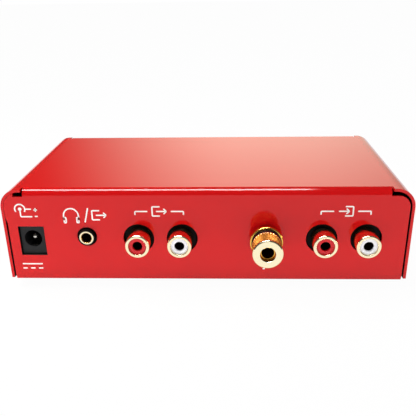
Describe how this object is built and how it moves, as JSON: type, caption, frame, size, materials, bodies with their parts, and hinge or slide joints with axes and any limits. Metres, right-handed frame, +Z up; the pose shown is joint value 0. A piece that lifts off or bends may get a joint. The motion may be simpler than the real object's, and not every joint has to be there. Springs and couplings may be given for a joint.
{
  "type": "phono preamp",
  "caption": "Low box for a record player: folded metal case with gold phono sockets, headphone and power sockets and a ground post behind, and turning controls in front.",
  "frame": {"origin": "centre of the bounding box at its base: the plane of the feet, under the middle of the whole unit", "axes": "+Z up; the control panel faces -Y and the connector panel faces +Y; +X is to the right as the controls are looked at"},
  "size_m": [0.142, 0.0994, 0.0377],
  "materials": {
    "red_enamel": "gloss enamel",
    "black_enamel": "satin enamel",
    "zinc_screws": "satin",
    "rubber": "matte",
    "board": "solder resist over glass laminate",
    "brass": "turned",
    "gold_plate": "polished gold plate",
    "black_moulding": "satin",
    "red_moulding": "gloss",
    "white_moulding": "gloss",
    "tinned_metal": "tinned",
    "nickel_nut": "nickel plate",
    "green_insulation": "satin",
    "spun_aluminium": "spun",
    "lamp_lens": "clear red moulding",
    "can_sleeve": "printed sleeve",
    "film_case": "satin",
    "resistor_lacquer": "lacquer"
  },
  "bodies": {
    "case": {"cover_shell": "red_enamel", "base_plate": "black_enamel", "base_screws": "zinc_screws", "rubber_feet": "rubber", "circuit_board": "board", "board_standoffs": "brass", "board_screws": "zinc_screws", "output_jack_body": "black_moulding", "output_jack_barrels": "gold_plate", "output_jack_insulator_red": "red_moulding", "output_jack_insulator_white": "white_moulding", "output_jack_contacts": "gold_plate", "input_jack_body": "black_moulding", "input_jack_barrels": "gold_plate", "input_jack_insulator_red": "red_moulding", "input_jack_insulator_white": "white_moulding", "input_jack_contacts": "gold_plate", "headphone_jack_body": "black_moulding", "headphone_jack_ring": "gold_plate", "headphone_jack_springs": "tinned_metal", "power_jack_body": "black_moulding", "power_jack_pin": "tinned_metal", "power_jack_spring": "tinned_metal", "ground_post_stud": "gold_plate", "ground_post_spacer": "black_moulding", "ground_post_lug": "tinned_metal", "ground_post_nut": "nickel_nut", "ground_wire": "green_insulation", "level_pot_body": "black_moulding", "level_pot_bushing": "nickel_nut", "level_pot_nut": "nickel_nut", "gain_pot_body": "black_moulding", "gain_pot_bushing": "nickel_nut", "gain_pot_nut": "nickel_nut", "filter_switch_body": "black_moulding", "filter_switch_bushing": "nickel_nut", "filter_switch_nut": "nickel_nut", "power_led": "lamp_lens", "power_led_bezel": "black_moulding", "power_led_legs": "tinned_metal", "op_amps": "black_moulding", "op_amp_pins": "tinned_metal", "electrolytic_capacitors": "can_sleeve", "film_capacitors": "film_case", "resistors": "resistor_lacquer", "voltage_regulator": "black_moulding", "regulator_legs": "tinned_metal", "rectifier_diodes": "black_moulding"},
    "level_knob": {"level_pot_shaft": "nickel_nut", "level_knob": "black_moulding", "level_knob_cap": "spun_aluminium", "level_knob_line": "white_moulding"},
    "gain_knob": {"gain_pot_shaft": "nickel_nut", "gain_knob": "black_moulding", "gain_knob_cap": "spun_aluminium", "gain_knob_line": "white_moulding"},
    "filter_lever": {"filter_switch_lever": "nickel_nut"},
    "post_ring": {"ground_post_ring": "black_moulding"},
    "post_hood": {"ground_post_hood": "gold_plate"}
  },
  "joints": [
    {"name": "level_knob_turn", "type": "hinge", "parent": "case", "child": "level_knob", "pos_m": [0.046, -0.0367, 0.02], "axis": [0, 1, 0], "range_deg": [-150, 150]},
    {"name": "gain_knob_turn", "type": "hinge", "parent": "case", "child": "gain_knob", "pos_m": [0.017, -0.0367, 0.02], "axis": [0, 1, 0], "range_deg": [-150, 150]},
    {"name": "filter_lever_tilt", "type": "hinge", "parent": "case", "child": "filter_lever", "pos_m": [-0.016, -0.0395, 0.02], "axis": [1, 0, 0], "range_deg": [0, 24]},
    {"name": "post_travel", "type": "slide", "parent": "case", "child": "post_ring", "axis": [0, 1, 0], "range_m": [0, 0.004]},
    {"name": "post_turn", "type": "hinge", "parent": "post_ring", "child": "post_hood", "pos_m": [-0.0211, 0.0411, 0.0197], "axis": [0, 1, 0], "range_deg": [0, 1800]}
  ],
  "couplings": [
    {"joint": "post_turn", "follows": "post_travel", "rad_per_m": 7854}
  ]
}
